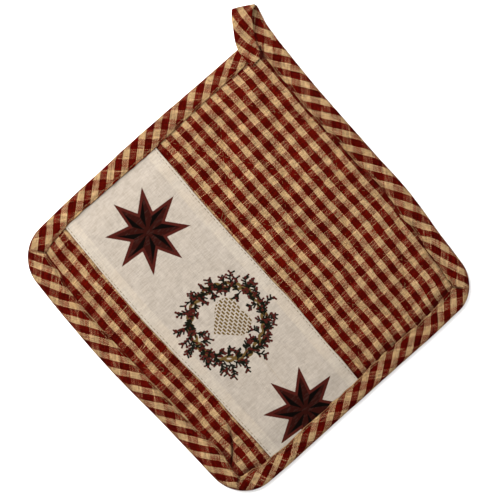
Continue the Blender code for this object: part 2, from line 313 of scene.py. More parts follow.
# ================================================================= the outline
def uneven(x, y):
    """Move points of the true square to their places on the real outline."""
    to_right = (1 + x / HALF) / 2
    to_top = (1 + y / HALF) / 2
    dx = (spline_at(PLACES, OUTWARD["right"], y) * to_right ** 2
          - spline_at(PLACES, OUTWARD["left"], y) * (1 - to_right) ** 2)
    dy = (spline_at(PLACES, OUTWARD["top"], x) * to_top ** 2
          - spline_at(PLACES, OUTWARD["bottom"], x) * (1 - to_top) ** 2)
    return x + dx, y + dy


def on_outline(x, y, z):
    """Points of the true square and their heights, as places on the real thing."""
    return np.stack([*uneven(x, y), z], -1)


def round_corners(x, y, half, inset):
    """Press the corner patches of a square grid into quarter discs."""
    x, y = x.copy(), y.copy()
    for (side, end), radius in CORNER_RADIUS.items():
        radius = max(radius - inset, 1.0)
        sign_x = -1 if side == "left" else 1
        sign_y = -1 if end == "bottom" else 1
        across = (x * sign_x - (half - radius)) / radius
        along = (y * sign_y - (half - radius)) / radius
        corner = (across > 0) & (along > 0)
        a, b = np.clip(across[corner], 0, 1), np.clip(along[corner], 0, 1)
        x[corner] = sign_x * (half - radius + radius * a * np.sqrt(1 - b ** 2 / 2))
        y[corner] = sign_y * (half - radius + radius * b * np.sqrt(1 - a ** 2 / 2))
    return x, y


def seam_width(side, place):
    """How wide the binding shows on one side, at places along it."""
    return spline_at(*SEAM[side], place)


def from_seam(x, y):
    """Distance inwards from the binding's inner edge."""
    return np.minimum.reduce([
        HALF - seam_width("right", y) - x, HALF - seam_width("left", y) + x,
        HALF - seam_width("top", x) - y, HALF - seam_width("bottom", x) + y,
    ])


def seam_gap(x, y):
    """1 along the top and right, where the bound edge stands off, 0 opposite."""
    return smooth((x + y + 40) / 80)


# ================================================================ the surfaces
def quilt_lines(x, y):
    """How far each point is from a quilting line of either family, in shares."""
    u = (x - CROSSING[0]) / DIAMOND_WIDTH
    v = (y - CROSSING[1]) / DIAMOND_HEIGHT
    return u + v, u - v


def quilting(x, y):
    """0 on a quilting line and 1 at the crown of a diamond."""
    falling, rising = quilt_lines(x, y)
    return np.abs(np.sin(math.pi * falling) * np.sin(math.pi * rising)) ** 0.6


def line_distance(x, y):
    """Distance in millimetres from the nearest quilting line, and along it."""
    slope = math.hypot(1 / DIAMOND_WIDTH, 1 / DIAMOND_HEIGHT)
    falling, rising = quilt_lines(x, y)
    to_falling = np.abs(falling - np.round(falling)) / slope
    to_rising = np.abs(rising - np.round(rising)) / slope
    along = np.where(to_falling < to_rising, rising, falling) / slope
    return np.minimum(to_falling, to_rising), along


def crease_frame(x, y):
    """How far past the crease's ends and beside it, how deep it is, its heading.

    It bows, and deepens from 0.3 at its start to 1 at its end.
    """
    run = np.subtract(CREASE_END, CREASE_START)
    length = math.hypot(*run)
    dx, dy = x - CREASE_START[0], y - CREASE_START[1]
    along = (dx * run[0] + dy * run[1]) / length ** 2
    off = (dy * run[0] - dx * run[1]) / length
    share = np.clip(along, 0, 1)
    return ((share - along) * length, off - CREASE_BOW * share * (1 - share),
            0.3 + 0.7 * smooth(along / 0.7), run / length)


def crease(x, y):
    """The slanting crease in the lower right corner: a groove between swells."""
    past, off, deep, _ = crease_frame(x, y)
    groove = ridge(off, CREASE_WIDTH) * CREASE_DEPTH
    swell = ridge(off - 2.4, 1.5) * 0.9 + ridge(off + 2.6, 1.6) * 0.6
    return ridge(past, CREASE_FADE) * (groove - swell) * deep


def drawn_in(x, y):
    """Points moved towards the crease, which has taken up cloth."""
    past, off, _, run = crease_frame(x, y)
    shift = -0.55 * off * ridge(off, 2.8) * ridge(past, 3.0)
    return x - run[1] * shift, y + run[0] * shift


def band_under(x):
    """Height of the band's underside, which sinks under the binding."""
    low = EDGE_TOP - BAND_CLOTH
    return low + smooth(from_seam(x, BAND_MIDDLE) / 16.0) * (BAND_UNDER - low)


def over_band(y, shoulder):
    """1 where the band lies, 0 beside it."""
    return (smooth((y - BAND_BOTTOM + shoulder) / shoulder)
            * smooth((BAND_TOP + shoulder - y) / shoulder))


def puckers(x, y):
    """Small folds that the quilting thread draws up across its lines."""
    off, along = line_distance(x, y)
    phase = along * math.tau / 3.4 + 2.2 * wander(x, y, 9.0, 3)
    return 0.13 * np.sin(phase) * np.exp(-off / 2.6) * (0.6 + 0.4 * wander(x, y, 12.0, 4))


def gathers(x, y):
    """Small folds that run in from the binding's stitching."""
    off = from_seam(x, y)
    along = np.where(np.abs(x) > np.abs(y), y, x)
    phase = along * math.tau / 7.5 + 3.0 * wander(along, 0, 11.0, 8)
    strength = np.exp(-np.maximum(off, 0) / 4.5)
    return 0.22 * np.sin(phase) * strength * (0.5 + 0.5 * wander(along, off, 14.0, 9))


def pad_front(x, y):
    """Height of the quilted front."""
    off = from_seam(x, y)
    rise = smooth(off / EDGE_PUFF)
    inside = smooth(off / (EDGE_PUFF / 3))
    bare = EDGE_TOP + rise * (LINE_TOP + PUFF * quilting(x, y) - EDGE_TOP)
    bare = bare - inside * crease(x, y) + inside * puckers(x, y) + gathers(x, y)
    bare = bare - (0.15 + 0.7 * seam_gap(x, y)) * ridge(off - 0.3, 0.7)
    bare = bare + rise * 0.22 * wander(x, y, 13.0, 1) + rise * 0.07 * wander(x, y, 4.5, 2)
    covered = band_under(x) - 0.35 - inside * 0.5 * (1 - quilting(x, y))
    return bare + over_band(y, 2.2) * (covered - bare)


def pad_back(x, y):
    """Height of the back: flat under the crowns, drawn up along the quilting."""
    flat = smooth((BACK_HALF - np.maximum(np.abs(x), np.abs(y))) / BACK_SLOPE)
    off, _ = line_distance(x, y)
    drawn = 0.9 * np.exp(-off / 2.2) + 0.12 * np.abs(wander(x, y, 9.0, 6))
    return EDGE_BOTTOM + flat * (drawn - EDGE_BOTTOM)


def pad_painted_shade(x, y):
    """1 where shade is painted on the front: in its hollows by the binding, and in the crease."""
    past, beside, depth, _ = crease_frame(x, y)
    seam = from_seam(x, y)
    patchy = 0.5 + 0.5 * wander(x, y, 7.0, 32)
    gap = (ridge(seam - 0.2, 0.5) * smooth(0.15 + patchy)
           + smooth((x - 60) / 25) * ridge(seam, 1.5) * patchy * 0.5)
    lower, upper = ridge(y + 83, 6.0), ridge(y - 76, 8.0) * smooth(patchy + 0.2)
    return np.maximum.reduce([
        (0.3 + 0.35 * seam_gap(x, y)) * np.minimum(gap, 1),
        ridge(beside, 0.9) * ridge(past, CREASE_FADE) * depth,
        ridge(seam - 0.6, 1.3) * (x > 70) * np.maximum(0.8 * lower, 0.75 * upper),
    ])


# ============================================================ the woven pattern
def yarn_counts(column, row):
    """Yarn counts across and up, from counts of repeats."""
    return np.stack([column * COLUMN_YARNS, row * ROW_YARNS], -1) + 0.5


def powers_of(x, y):
    """1, x, y, xx, xy, yy, xxx, xxy, xyy and yyy."""
    return 1, x, y, x * x, x * y, y * y, x ** 3, x * x * y, x * y * y, y ** 3


def weighed(shares, powers):
    return sum(share * power for share, power in zip(shares, powers))


def front_weave(x, y):
    """Yarn counts across and up the front, at points of the true square."""
    drift = {key: weighed(shares, powers_of(x / DRIFT_SPAN, y / DRIFT_SPAN))
             for key, shares in DRIFT.items()}
    low = smooth((BAND_TOP - y) / (BAND_TOP - BAND_BOTTOM))
    column = 15 - (83.0 - x) / (COLUMN - 0.0016 * np.maximum(y - 12, 0))
    column = column + drift["upper columns"] * (1 - low) + drift["lower columns"] * low
    column = column + 0.035 * wander(x, y, 16.0, 21) + 0.012 * wander(x, y, 5.0, 22)
    upper = (85.3 - y) / ROW + drift["upper rows"]
    lower = 20 + (-74.5 - y) / LOWER_ROW + drift["lower rows"]
    row = upper * (1 - low) + lower * low
    # The rows are drawn down at the top right corner and at the right seam.
    row = row - 0.12 * smooth((x - 76) / 12) * (smooth((y - 62) / 14) + 0.8 * ridge(y - 73, 7))
    row = row - 0.0115 * (np.maximum(x - 79, 0) + low * np.minimum(x + 81, 0))
    row = row + 0.04 * wander(x, y, 14.0, 23) + 0.018 * wander(x, y, 5.0, 24)
    return yarn_counts(column, row)


def back_weave(x, y):
    """Yarn counts across and up the back."""
    return yarn_counts(x / COLUMN + 0.04 * wander(x, y, 18.0, 25),
                       y / ROW + 0.05 * wander(x, y, 18.0, 26))


def bias_weave(side, along, depth):
    """Counts of repeats, columns and rows, on one side of the binding.

    along runs clockwise from the middle of the side, and depth in from the
    outer edge.
    """
    slant, counter, row_pitch, column_pitch, row_start, column_start, bends, sways = BIAS[side]
    slant, counter = math.radians(slant), math.radians(counter)
    row = (-along * math.sin(slant) - depth * math.cos(slant)) / row_pitch + row_start
    if side == "top":
        row = row + 0.2 * smooth((-along - 72) / 22)
    if side == "right":
        row = row - 0.15 * smooth((along - 60) / 20)
    column = (along * math.sin(counter) - depth * math.cos(counter)) / column_pitch + column_start
    reach = np.clip(along / BIAS_SPAN, -1.15, 1.15)
    for power, (bend, sway) in enumerate(zip(bends, sways), start=2):
        row = row + bend * reach ** power
        column = column + sway * reach ** power
    return column, row


def binding_weave(outer, inward, depth):
    """Yarn counts on the binding, at depths from its outer edge.

    Each side's cloth lies straight as far as the mitre fold at its corner, and
    near there it is drawn out of line.
    """
    wrapped = np.arange(len(outer) + 1) % len(outer)
    angle = (np.arange(len(outer) + 1) / BINDING_STEPS)[:, None]
    points = outer[wrapped][:, None] + inward[wrapped][:, None] * depth[wrapped][..., None]
    x, y = points[..., 0], points[..., 1]
    real = np.stack(uneven(x, y), -1)
    lies = {"top": (x, HALF - y), "right": (-y, HALF - x),
            "bottom": (-x, HALF + y), "left": (y, HALF + x)}
    total, weights = 0.0, 0.0
    for number, side in enumerate(SIDES):
        run, inset = lies[side]
        pattern = np.stack(bias_weave(side, run, inset), -1)
        for (name, way), (place, *draws) in CORNER_DRAW.items():
            if name == side:
                draws = np.array(draws)
                near = smooth((run * way - 50) / 14)[..., None]
                pattern = pattern + near * (draws[:, 0] + (real - place) @ draws[:, 1:].T / 10)
        weight = 1.0
        if number < 3:
            weight = smooth((number + 1 + CORNER_SWITCH - angle) / (2 * CORNER_SWITCH))
        if number > 0:
            weight = weight * smooth((angle - number + CORNER_SWITCH) / (2 * CORNER_SWITCH))
        total = total + pattern * np.asarray(weight)[..., None]
        weights = weights + weight
    return yarn_counts(*np.moveaxis(total / weights[..., None], -1, 0))


# ============================================================== making meshes
def grid_faces(rows, columns, wrap_rows=False, wrap_columns=False):
    """Corners of a grid's faces, first as point numbers and then as places in
    a grid that is one wider where it wraps."""
    high, wide = rows + wrap_rows, columns + wrap_columns
    i, j = np.meshgrid(np.arange(high - 1), np.arange(wide - 1), indexing="ij")
    i, j = i.ravel(), j.ravel()
    corners = [(i, j), (i, j + 1), (i + 1, j + 1), (i + 1, j)]
    points = np.stack([(a % rows) * columns + b % columns for a, b in corners], -1)
    places = np.stack([a * wide + b for a, b in corners], -1)
    return points, places


def make_piece(name, points, faces, corner_uv, material, numbers=()):
    """A mesh object from points in millimetres, with its weave as a UV map."""
    mesh = bpy.data.meshes.new(name)
    mesh.from_pydata((np.asarray(points) * MM).tolist(), [], [list(map(int, f)) for f in faces])
    layer = mesh.uv_layers.new(name="weave")
    layer.data.foreach_set("uv", np.asarray(corner_uv, np.float32).ravel())
    for key, values in dict(numbers).items():
        attribute = mesh.attributes.new(key, "FLOAT", "POINT")
        attribute.data.foreach_set("value", np.asarray(values, np.float32).ravel())
    bm = bmesh.new()
    bm.from_mesh(mesh)
    bmesh.ops.recalc_face_normals(bm, faces=bm.faces)
    bm.to_mesh(mesh)
    bm.free()
    mesh.shade_smooth()
    mesh.materials.append(material)
    piece = bpy.data.objects.new(name, mesh)
    bpy.context.scene.collection.objects.link(piece)
    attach(piece, "root")
    return piece


# ============================================================ writing materials
class Value:
    """A node's output, which can stand in a formula."""

    def __init__(self, net, socket):
        self.net, self.socket = net, socket

    def __add__(self, other):
        return self.net.math("ADD", self, other)

    def __sub__(self, other):
        return self.net.math("SUBTRACT", self, other)

    def __rsub__(self, other):
        return self.net.math("SUBTRACT", other, self)

    def __mul__(self, other):
        return self.net.math("MULTIPLY", self, other)

    def __truediv__(self, other):
        return self.net.math("DIVIDE", self, other)

    def __pow__(self, other):
        return self.net.math("POWER", self, other)

    __radd__, __rmul__ = __add__, __mul__


class Net:
    """Writes a node tree as formulas."""

    def __init__(self, tree):
        self.tree = tree

    def join(self, socket, value):
        if isinstance(value, Value):
            self.tree.links.new(value.socket, socket)
        else:
            socket.default_value = (*value, 1.0) if socket.type == "RGBA" else value

    def add(self, kind, inputs=(), output=0, **settings):
        """A new node with values on its inputs, as the value of one output."""
        node = self.tree.nodes.new("ShaderNode" + kind)
        for key, value in settings.items():
            setattr(node, key, value)
        for key, value in inputs.items() if isinstance(inputs, dict) else enumerate(inputs):
            self.join(node.inputs[key], value)
        return Value(self, node.outputs[output])

    def math(self, operation, *values):
        return self.add("Math", values, operation=operation)

    def ramp(self, value, low, high, out_low=0.0, out_high=1.0):
        return self.add("MapRange", (value, low, high, out_low, out_high),
                        interpolation_type="SMOOTHSTEP")

    def mix(self, share, first, second):
        return self.add("Mix", {0: share, 6: first, 7: second}, 2, data_type="RGBA")

    def choose(self, share, first, second):
        return self.add("Mix", {0: share, 2: first, 3: second}, data_type="FLOAT")

    def shade(self, colour, amount):
        """A colour or a point, times a factor."""
        return self.add("VectorMath", {0: colour, "Scale": amount}, operation="SCALE")

    def point(self, x, y, z=0.0):
        return self.add("CombineXYZ", (x, y, z))

    def noise(self, vector, scale, detail=1.0, rough=0.5):
        return self.add("TexNoise", {"Vector": vector, "Scale": scale, "Detail": detail,
                                     "Roughness": rough})

    def number(self, name):
        return self.add("Attribute", output="Fac", attribute_name=name)

    def weave(self):
        """The weave's two counts, across and up."""
        node = self.tree.nodes.new("ShaderNodeSeparateXYZ")
        self.join(node.inputs[0], self.add("UVMap", uv_map="weave"))
        return Value(self, node.outputs[0]), Value(self, node.outputs[1])

    def place(self):
        """The point on the object, in millimetres."""
        return self.shade(self.add("TexCoord", output="Object"), 1 / MM)


def yarn_group():
    """Plain weave of two sets of yarns.

    Across and Up count the yarns, and Knuckle is half the width of one that
    runs up, where it shows. Over is 1 there. Relief is the height of the yarn
    that shows, Tone its own slubs, dark to light, and Chance a random number
    for each short length of the yarn that runs up.
    """
    tree = bpy.data.node_groups.new("plain_weave", "ShaderNodeTree")
    for way, names in (("INPUT", ("Across", "Up", "Knuckle")),
                       ("OUTPUT", ("Over", "Relief", "Tone", "Chance"))):
        for name in names:
            tree.interface.new_socket(name, in_out=way, socket_type="NodeSocketFloat")
    net = Net(tree)
    given = tree.nodes.new("NodeGroupInput").outputs
    across, up, knuckle = (Value(net, given[index]) for index in range(3))
    column, row = net.math("FLOOR", across), net.math("FLOOR", up)
    beside, above = net.math("FRACT", across) - 0.5, net.math("FRACT", up) - 0.5
    odd = net.math("PINGPONG", column + row, 1.0)
    even = 1.0 - odd * 2.0
    # Hand-spun yarns vary: each short length has its own thickness and tone.
    length = net.math("FLOOR", up * 0.22 + column * 0.37)
    chance = net.add("TexWhiteNoise", {"Vector": net.point(column, length)}, "Value",
                     noise_dimensions="2D")
    thick = net.noise(net.point(column * 0.9, up * 0.10, 2.0), 1.0)
    knuckle = net.math("MAXIMUM", knuckle * (-2.5 + chance * 0.6 + thick * 6.4), 0.06)
    # The yarn that runs up shows as a knuckle in every other cell, and a thick
    # one reaches into the cells above and below.
    from_middle = net.math("ABSOLUTE", above)
    from_knuckle = net.choose(odd, 1.0 - from_middle, from_middle)
    wide = (net.math("ABSOLUTE", beside) / knuckle) ** 2.0
    tall = (from_knuckle / (thick + 0.1)) ** 4.0
    ellipse = wide + tall
    over = net.ramp(ellipse, 1.15, 0.85)
    bend_across = net.math("COSINE", beside * math.pi)
    bend_up = net.math("COSINE", above * math.pi)
    lying = 0.12 + bend_up * 0.55 + bend_across * even * 0.26
    slub_lying = net.noise(net.point(across * 0.055, row * 7.3), 1.0, 2.0, 0.6)
    slub_standing = net.noise(net.point(column * 7.3, up * 0.055, 5.0), 1.0, 2.0, 0.6)
    relief = net.choose(over, lying, 1.0 - ellipse * 0.5)
    tone = net.choose(over, slub_lying, slub_standing)
    for socket, value in zip(tree.nodes.new("NodeGroupOutput").inputs, (over, relief, tone, chance)):
        net.join(socket, value)
    return tree


def add_weave(net, group, across, up, knuckle):
    node = net.tree.nodes.new("ShaderNodeGroup")
    node.node_tree = group
    for socket, value in zip(node.inputs, (across, up, knuckle)):
        net.join(socket, value)
    return [Value(net, socket) for socket in node.outputs]


def new_material(name, roughness, sheen, tint):
    """A matt cloth material with its own constants, and its node writer."""
    material = bpy.data.materials.new(name)
    material.use_nodes = True
    surface = material.node_tree.nodes["Principled BSDF"]
    for key, value in (("Roughness", roughness), ("Specular IOR Level", 0.01), ("Sheen Weight", sheen),
                       ("Sheen Roughness", 0.55), ("Sheen Tint", (*tint, 1.0))):
        surface.inputs[key].default_value = value
    return material, Net(material.node_tree)


def finish_material(material, net, colour, height, distance, strength):
    """Give a material its colour, and bumps up to distance in millimetres."""
    surface = material.node_tree.nodes["Principled BSDF"]
    bump = net.add("Bump", {"Strength": strength, "Distance": distance * MM, "Height": height})
    net.join(surface.inputs["Base Color"], colour)
    net.join(surface.inputs["Normal"], bump)
    return material


def crowd(net, count, repeat, amount):
    """The same yarn count, with the tan yarns a little closer together."""
    return count + net.math("SINE", (count - 0.5) * (math.tau / repeat)) * amount


def light_yarn(net, count, repeat):
    """1 where a yarn is tan and 0 where it is dark red."""
    off = net.math("PINGPONG", net.math("FLOOR", count) / float(repeat), 0.5)
    return net.math("LESS_THAN", off, 0.25)


def gingham_material(name, group):
    """Homespun gingham: tan and dark red yarns, slubbed and a little faded."""
    material, net = new_material(name, 0.92, 0.01, (0.9, 0.35, 0.2))
    across, up = net.weave()
    # Soft yarns do not lie quite straight or evenly.
    sway = net.noise(net.point(across * 0.45, up * 0.07), 1.0)
    swing = net.noise(net.point(across * 0.07, up * 0.45, 9.0), 1.0)
    across = crowd(net, across + sway * 1.5 - 0.75, COLUMN_YARNS, 0.14)
    up = crowd(net, up + swing * 1.1 - 0.55, ROW_YARNS, 0.18)
    light_up = light_yarn(net, across, COLUMN_YARNS)
    light_across = light_yarn(net, up, ROW_YARNS)
    # A tan knuckle is small between dark yarns, a dark one fills its cell.
    knuckle = net.choose(light_up, 0.46, net.choose(light_across, 0.115, 0.42))
    over, relief, tone, chance = add_weave(net, group, across, up, knuckle)
    is_light = net.choose(over, light_across, light_up)
    mixed = net.math("ABSOLUTE", light_up - light_across)
    place = net.place()
    cloud = net.noise(place, 0.045, 3.0, 0.6)
    patch = net.noise(place, 0.16, 2.0, 0.55)
    fine = net.noise(place, 1.1, 2.0, 0.6)
    tan = net.mix(net.ramp(patch, 0.52, 0.72, 0.0, 0.55), TAN, TAN_PATCH)
    tan = net.mix(net.number("stain") * 0.5, tan, TAN_STAIN)
    tan = net.mix(mixed, tan, PALE_MIX)
    red = net.mix(net.ramp(cloud, 0.4, 0.65), DARK_RED, FADED_RED)
    red = net.mix(mixed, red, WARM_RED)
    # Paler along the binding's inner edge.
    colour = net.mix(net.number("pale_lip") * 0.6, net.mix(is_light, red, tan), LIP_PALE)
    shadow = net.ramp(relief, 0.05, 0.85, 0.52, 1.18)
    slub = net.ramp(tone, 0.3, 0.7, 0.64, 1.30)
    lint = net.ramp(fine, 0.3, 0.7, 0.80, 1.20)
    speck = 0.88 + chance * 0.24
    colour = net.shade(colour, shadow * slub * lint * speck * net.ramp(cloud, 0.3, 0.7, 0.95, 1.05))
    # Painted shade in the hollows by the seams, in the crease and along the mitre folds.
    colour = net.mix(net.number("painted_shade") * 0.9, colour, PAINTED_SHADE)
    return finish_material(material, net, colour, relief + tone * 0.3, 0.16, 0.8)


def thread_material(name, colour):
    """Two-ply cotton sewing thread: its plies wind round it."""
    material, net = new_material(name, 0.85, 0.01, (1.0, 0.9, 0.8))
    along, around = net.weave()
    round_ply = net.math("SINE", net.math("FRACT", along / 0.42 + around) * math.pi)
    # Darker between the plies: painted shade.
    dark = tuple(part * 0.62 for part in colour)
    shade = net.mix(net.ramp(round_ply, 0.1, 0.9), dark, colour)
    tone = net.ramp(net.noise(net.place(), 1.4, 2.0), 0.3, 0.7, 0.85, 1.15)
    return finish_material(material, net, net.shade(shade, tone), round_ply, 0.05, 0.7)


def muslin_material(name, group):
    """Cream plain-weave cotton with a print that sits on its yarns."""
    material, net = new_material(name, 0.88, 0.01, (1.0, 0.97, 0.92))
    across, up = net.weave()
    _, relief, tone, chance = add_weave(net, group, across / MUSLIN_YARN, up / MUSLIN_YARN, 0.52)
    place = net.place()
    cloud = net.ramp(net.noise(place, 0.05, 3.0, 0.6), 0.35, 0.65)
    patch = net.ramp(net.noise(place, 0.22, 3.0, 0.6), 0.35, 0.68)
    cloth = net.mix(net.number("single_layer") * 0.8, net.mix(cloud * 0.6, CREAM, CREAM_CLOUD),
                    net.mix(patch, SINGLE, SINGLE_PATCH))
    # Darker along the topstitching and the pressed line: dirt and painted shade.
    cloth = net.mix(net.number("crease_dirt_and_shade") * 0.35, cloth, DIRT_AND_SHADE)
    thick_up = net.noise(net.point(across * 1.1, up * 0.06), 1.0)
    thick_across = net.noise(net.point(across * 0.06, up * 1.1, 3.0), 1.0)
    grain = ((0.94 + chance * 0.12) * net.ramp(thick_up, 0.3, 0.7, 0.965, 1.03)
             * net.ramp(thick_across, 0.3, 0.7, 0.965, 1.03))
    # The dips between the yarns are darkened, which is painted shade, along with the yarns' own grain
    # and tone.
    cloth = net.shade(cloth, net.ramp(relief, 0.0, 0.8, 0.86, 1.05) * grain
                      * net.ramp(tone, 0.3, 0.7, 0.94, 1.05))
    # The print: each layer is a distance to its shape, with a soft rough edge.
    rough = (net.noise(place, 2.4, 2.0) - 0.5) * 0.35
    row = net.math("FLOOR", up / BRICK_HEIGHT)
    brick = net.math("FRACT", across / BRICK_WIDTH + row * 0.37)
    course = net.math("FRACT", up / BRICK_HEIGHT)
    bricks = (net.ramp(net.math("ABSOLUTE", brick - 0.5), 0.40, 0.34)
              * net.ramp(net.math("ABSOLUTE", course - 0.5), 0.36, 0.26))
    for layer, ink in INKS.items():
        cover = net.ramp(net.number(layer) + rough, INK_EDGE, -INK_EDGE)
        if layer == "hatch":
            cover = cover * bricks
        cloth = net.mix(cover * net.ramp(chance, 0.0, 0.3, 0.975, 1.0), cloth, ink)
    return finish_material(material, net, cloth, relief + tone * 0.4, 0.07, 0.7)


# ==================================================================== the pad
def square_grid(cells):
    """A square grid as large as the pad, with rounded corners."""
    line = np.linspace(-PAD_HALF, PAD_HALF, cells + 1)
    return round_corners(*np.meshgrid(line, line), PAD_HALF, HALF - PAD_HALF)


def border_of(count):
    """Point numbers round a square grid, anticlockwise from its first corner."""
    first = np.arange(count)
    right = np.arange(1, count) * count + count - 1
    last = count * count - 2 - np.arange(count - 1)
    left = np.arange(count - 2, 0, -1) * count
    return np.concatenate([first, right, last, left])


def build_pad(material):
    """The quilted square: gingham front and back over one filling."""
    x, y = square_grid(PAD_CELLS)
    back_x, back_y = square_grid(PAD_CELLS // BACK_CELL)
    front = on_outline(*drawn_in(x, y), pad_front(x, y)).reshape(-1, 3)
    back = on_outline(back_x, back_y, pad_back(back_x, back_y)).reshape(-1, 3)
    uv = np.concatenate([front_weave(x, y).reshape(-1, 2), back_weave(back_x, back_y).reshape(-1, 2)])
    front_faces, back_faces = (grid_faces(*grid.shape)[0] for grid in (x, back_x))
    faces = front_faces.tolist() + (back_faces[:, ::-1] + len(front)).tolist()
    fine, broad = border_of(len(x)), border_of(len(back_x)) + len(front)
    for i, corner in enumerate(broad):
        near = [fine[(BACK_CELL * i + step) % len(fine)] for step in range(BACK_CELL + 1)]
        faces.append([*near, broad[(i + 1) % len(broad)], corner])
    points = np.concatenate([front, back])
    off, _ = line_distance(np.concatenate([x.ravel(), back_x.ravel()]),
                           np.concatenate([y.ravel(), back_y.ravel()]))
    numbers = {
        "stain": ridge(off, 2.6) * (0.5 + 0.5 * wander(points[:, 0], points[:, 1], 7.0, 31)),
        # painted shade in the front's hollows by the binding and in the crease
        "painted_shade": np.concatenate([pad_painted_shade(x, y).ravel(), np.zeros(len(back))]),
    }
    corner_uv = uv[np.concatenate([np.asarray(face) for face in faces])]
    piece = make_piece("quilted_pad", points, faces, corner_uv, material, numbers)
    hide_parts("pad")


# ================================================================ the binding
def half_side(across, along, radius, run):
    """A place on half a side and half its arc: how far along, how far across."""
    straight = along - radius
    turn = np.maximum(run - straight, 0) / radius
    return (np.minimum(run, straight) + radius * np.sin(turn),
            across - radius + radius * np.cos(turn))


def edge_ring(half_x, half_y, centre, radii, turns):
    """Points round a rounded rectangle, clockwise from its top left corner.

    Along the straight of a side they stand square to one another on any two
    rings; the rest are shared out evenly round the corner.
    """
    parts = []
    step = np.arange(BINDING_STEPS)
    first = step <= BINDING_STEPS // 2
    step = np.where(first, step, BINDING_STEPS - step)
    turning = (step - STRAIGHT_STEPS) / (BINDING_STEPS // 2 - STRAIGHT_STEPS)
    for end, side in (("top", "left"), ("top", "right"), ("bottom", "right"), ("bottom", "left")):
        sign_x = -1 if side == "left" else 1
        sign_y = -1 if end == "bottom" else 1
        radius = radii[side, end]
        square = HALF - max(CORNER_RADIUS[side, end], 14.0)
        turned = turns.get((side, end), 0) * np.where(first, 1, -1)

        def run_of(half, shift):
            begins = square - shift
            ends = half - radius + radius * math.pi / 4 + turned
            return np.where(step < STRAIGHT_STEPS, square * step / STRAIGHT_STEPS - shift,
                            begins + (ends - begins) * turning)

        far_y, near_x = half_side(half_x, half_y, radius, run_of(half_y, sign_y * centre[1]))
        far_x, near_y = half_side(half_y, half_x, radius, run_of(half_x, sign_x * centre[0]))
        upright = first == (sign_x != sign_y)
        x, y = np.where(upright, near_x, far_x), np.where(upright, far_y, near_y)
        parts.append(np.stack([centre[0] + sign_x * x, centre[1] + sign_y * y], -1))
    return np.roll(np.concatenate(parts), -(BINDING_STEPS // 2), axis=0)


def binding_rings():
    """The outer edge, the inner edge, and the distance along the outer one."""
    wide = MEAN_WIDTH
    outer = edge_ring(HALF, HALF, (0, 0), CORNER_RADIUS, MITRE_TURN)
    half_x = HALF - (wide["left"] + wide["right"]) / 2
    half_y = HALF - (wide["top"] + wide["bottom"]) / 2
    centre = ((wide["left"] - wide["right"]) / 2, (wide["bottom"] - wide["top"]) / 2)
    inner = edge_ring(half_x, half_y, centre, dict.fromkeys(CORNER_RADIUS, INNER_RADIUS), {})
    x, y = inner[:, 0].copy(), inner[:, 1].copy()
    for side, sign, place, other, axis in (("left", 1, y, x, 0), ("right", -1, y, x, 0),
                                           ("bottom", 1, x, y, 1), ("top", -1, x, y, 1)):
        near = smooth((-sign * other - (HALF - wide[side]) + 6) / 4)
        inner[:, axis] += sign * near * (seam_width(side, place) - wide[side])
    return outer, inner, run_length(np.concatenate([outer, outer[:1]]))


def corner_tucks(count):
    """The mitres: a raised ply that ends at the corner, and the fold beside it."""
    tuck, fold = np.zeros(count), np.zeros(count)
    for corner in (1, 2, 3):
        steps = np.arange(count) - corner * BINDING_STEPS
        tuck += np.where(steps < 0, np.exp(steps / 9.0), np.exp(-steps / 1.2))
        fold += ridge(steps - 1.0, 1.3)
    return tuck, fold


def binding_sections(lip, along):
    """The strip cut across at each place: depths from the outer edge, heights.

    A section runs from the front lip round the outside to the back lip, and
    returns along the inside of the cloth.
    """
    top, count = BINDING_HEIGHT, len(lip)
    tuck, fold = corner_tucks(count)
    ripple = np.sin(along * math.tau / 8.3 + 3.2 * wander(along, 0, 13.0, 41))
    ripple = 0.32 * ripple * (0.55 + 0.45 * wander(along, 0, 21.0, 42))
    depths, heights = [], []
    for index, inset in enumerate(FRONT_DEPTHS):
        spread = inset / FRONT_DEPTHS[-1] if inset >= WIDENING else 0
        depth = lip - inset - spread * (lip - ROLL - 9.0)
        fall = np.clip((depth - ROLL - 2.0) / (lip - ROLL - 2.0), 0, 1)
        z = top - 0.5 * fall ** 2 - 0.38 * ridge(inset - STITCH_IN, 0.5) - LIP_ROUNDING.get(index, 0)
        z = z + np.exp(-max(inset - 0.5, 0) / 5.0) * ripple + 0.13 * wander(along, depth, 6.0, 43)
        z = z + (0.8 * tuck - 0.7 * fold) * (1 - index / len(FRONT_DEPTHS))
        depths.append(depth)
        heights.append(np.minimum(z, top + 0.9))
    lump = 0.108 * wander(along, 0, 9.0, 44)
    for angle in np.radians(ROLL_ANGLES):
        depths.append(ROLL * (1 - math.cos(angle)) + lump * math.cos(angle))
        heights.append(np.full(count, top / 2 * (1 + math.sin(angle))))
    sag = 0.10 * (1 + wander(along, 9.0, 7.0, 45))
    for share in BACK_SHARES:
        depths.append(ROLL + (lip - ROLL) * share)
        heights.append(sag + BACK_LIP.get(share, 0))
    for share, z in ((1.0, CLOTH), (0.55, CLOTH), (0.2, CLOTH), (0.2, top - CLOTH),
                     (0.55, top - CLOTH), (1.0, top - CLOTH - 0.35)):
        depths.append(CLOTH + (lip - CLOTH) * share)
        heights.append(np.full(count, z))
    return np.stack(depths, 1), np.stack(heights, 1)


